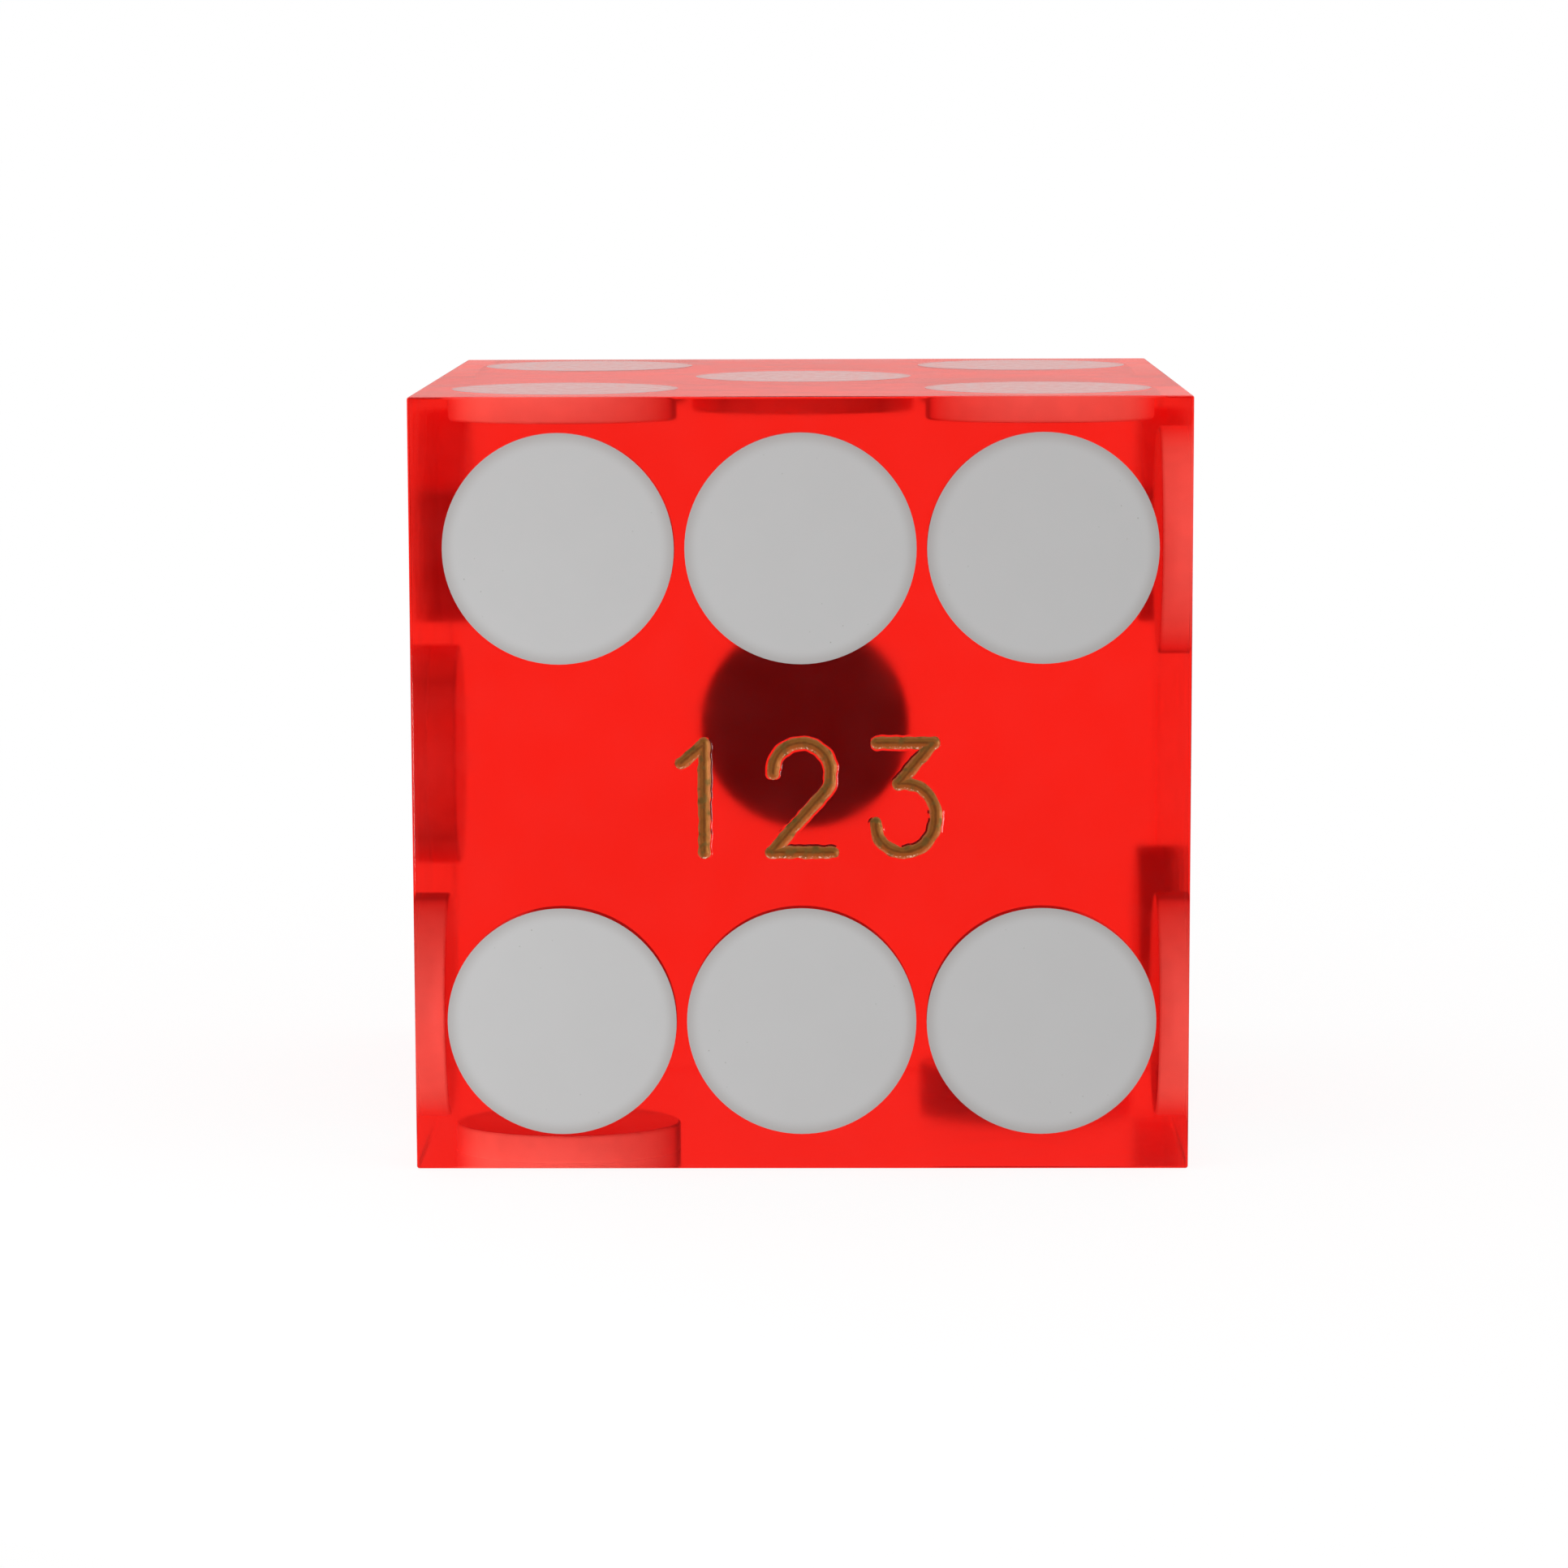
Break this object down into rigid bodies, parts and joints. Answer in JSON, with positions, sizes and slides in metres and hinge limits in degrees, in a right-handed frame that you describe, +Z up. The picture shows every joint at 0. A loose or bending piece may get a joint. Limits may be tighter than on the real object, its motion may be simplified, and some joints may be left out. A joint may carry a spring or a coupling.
{
  "type": "casino die",
  "caption": "Translucent red casino die: a true, sharp-edged cube with round pips drilled into its faces and filled flush.",
  "frame": {"origin": "centre of the cube, halfway between each pair of opposite faces", "axes": "+Z up, out of the five face; -Y out of the front, which is the six face; +X to the right as the six face is looked at, out of the four face"},
  "size_m": [0.019, 0.019, 0.019],
  "materials": {
    "red_acetate": "polished",
    "pip_compound": "satin",
    "gold_foil": "satin"
  },
  "bodies": {
    "root": {"die_body": "red_acetate", "one_pip_1": "pip_compound", "two_pip_1": "pip_compound", "two_pip_2": "pip_compound", "three_pip_1": "pip_compound", "three_pip_2": "pip_compound", "three_pip_3": "pip_compound", "four_pip_1": "pip_compound", "four_pip_2": "pip_compound", "four_pip_3": "pip_compound", "four_pip_4": "pip_compound", "five_pip_1": "pip_compound", "five_pip_2": "pip_compound", "five_pip_3": "pip_compound", "five_pip_4": "pip_compound", "five_pip_5": "pip_compound", "six_pip_1": "pip_compound", "six_pip_2": "pip_compound", "six_pip_3": "pip_compound", "six_pip_4": "pip_compound", "six_pip_5": "pip_compound", "six_pip_6": "pip_compound"}
  },
  "joints": []
}
